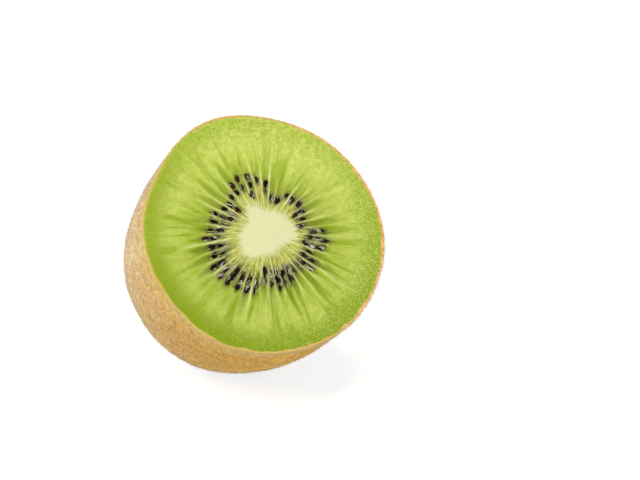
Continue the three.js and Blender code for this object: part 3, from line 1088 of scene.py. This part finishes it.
def make_fuzz():
    """Short stiff hairs all over the skin, each a slim spike that leans over."""
    rng = np.random.default_rng(23)
    root, tip, outward = grow_hairs(rng, skin_outside())
    half_width = rng.uniform(*HAIR_HALF_WIDTH, size=(len(root), 1))
    mesh = spike_mesh("fuzz", root, tip, outward, half_width)
    clump = 0.5 + 0.6 * soft_noise(root * (0.4, 0.4, 1), 0.3, 21)
    tone = np.clip(clump + rng.uniform(-0.25, 0.25, size=len(root)), 0, 1)
    set_attribute(mesh, "tone", np.repeat(tone, 4))
    masks = skin_masks(root)
    # under carries the painted shade of the underside onto the hairs
    for name in ("brown", "under", "yellow"):
        set_attribute(mesh, name, np.repeat(masks[name], 4))
    dress("fuzz", mesh, fuzz_material(), "flesh")


# ---- Floor, light and camera, in metres ----

FLOOR_RADIUS = 1.0
BEND_RADIUS = 0.8
WALL_TOP = 1.4
STAGE_GLOW = (0.60, 0.71, 0.79, 1.0)  # cool, so that light off the fruit leaves no warm cast
STAGE_TONE = (0.54, 0.44, 0.34, 1.0)
SKY_COLOUR = (1.0, 0.88, 0.72, 1.0)
SKY = 0.3
LAMP_DISTANCE = 0.8


def make_stage():
    """A white bowl: a flat floor that bends up into a wall all round."""
    angle = np.linspace(0, math.pi / 2, 16)
    radius = np.concatenate([[0.01, 0.3], FLOOR_RADIUS + BEND_RADIUS * np.sin(angle)])
    height = np.concatenate([[0, 0], BEND_RADIUS * (1 - np.cos(angle))])
    radius, height = np.append(radius, radius[-1]), np.append(height, WALL_TOP)
    turn = np.linspace(0, TAU, 64, endpoint=False)[None, :]
    rings = places_at(radius[:, None], turn, height[:, None])
    quads, fans = ring_faces(*rings.shape[:2])
    mesh = bpy.data.meshes.new("stage")
    places = rings.reshape(-1, 3).tolist() + [(0.0, 0.0, 0.0)]
    mesh.from_pydata(places, [], quads.tolist() + fans[:rings.shape[1]].tolist())
    mesh.shade_smooth()
    mesh.materials.append(Nodes("white_stage").finish(
        Base_Color=STAGE_TONE, Emission_Color=STAGE_GLOW, Emission_Strength=1.0,
        Specular_IOR_Level=0.0))
    add_object("stage", mesh)


def make_light(name, direction, size, power, aim):
    """A round lamp in a direction from what it is aimed at."""
    light = bpy.data.lights.new(name, "AREA")
    light.energy = power
    light.shape = "DISK"
    light.size = size
    lamp = add_object(name, light)
    towards_lamp = Vector(direction).normalized()
    lamp.location = aim + towards_lamp * LAMP_DISTANCE
    lamp.rotation_mode = "QUATERNION"
    lamp.rotation_quaternion = towards_lamp.to_track_quat("Z", "Y")


def make_lights(aim):
    """A large key light from the left, a smaller one from above and an even sky."""
    world = bpy.data.worlds.new("studio")
    world.use_nodes = True
    background = world.node_tree.nodes["Background"]
    background.inputs["Color"].default_value = SKY_COLOUR
    background.inputs["Strength"].default_value = SKY
    bpy.context.scene.world = world
    make_light("key", (-0.73, -0.12, 0.67), size=0.36, power=2.8, aim=aim)
    make_light("top", (0.20, -0.10, 0.95), size=0.22, power=1.4, aim=aim)
    bpy.context.scene.view_settings.view_transform = "Standard"


VIEW_AZIMUTH = -24.8  # degrees, from straight in front of the cut
VIEW_HEIGHT = 22.0
VIEW_DISTANCE = 355 * MM
LENS = 100.0
SENSOR = 36.0
PICTURE = (640, 480)
CUT_MIDDLE = (265.9, 231.5)  # where the middle of the cut lands in the picture


def make_camera(middle):
    """The photo's camera, placed by where the middle of the cut lands in the picture."""
    azimuth, elevation = math.radians(VIEW_AZIMUTH), math.radians(VIEW_HEIGHT)
    back = Vector((math.sin(azimuth) * math.cos(elevation),
                   -math.cos(azimuth) * math.cos(elevation), math.sin(elevation)))
    right = Vector((0, 0, 1)).cross(back).normalized()
    up = back.cross(right)
    pixel = SENSOR / PICTURE[0] / LENS * VIEW_DISTANCE
    aim = (middle + right * (PICTURE[0] / 2 - CUT_MIDDLE[0]) * pixel
           + up * (CUT_MIDDLE[1] - PICTURE[1] / 2) * pixel)
    data = bpy.data.cameras.new("camera")
    data.lens = LENS
    data.sensor_width = SENSOR
    data.clip_start = 0.01
    camera = add_object("camera", data)
    camera.location = middle + back * VIEW_DISTANCE
    camera.rotation_mode = "QUATERNION"
    camera.rotation_quaternion = (aim - camera.location).to_track_quat("-Z", "Y")
    bpy.context.scene.camera = camera


# ---- The scene ----

SEEDS = seed_places()
make_cut(SEEDS)
make_core(SEEDS)
make_seeds(SEEDS)
make_skin()
make_fuzz()
make_stage()
cut_middle = LAID @ Vector((0, 0, 0))
make_lights(cut_middle)
make_camera(cut_middle)
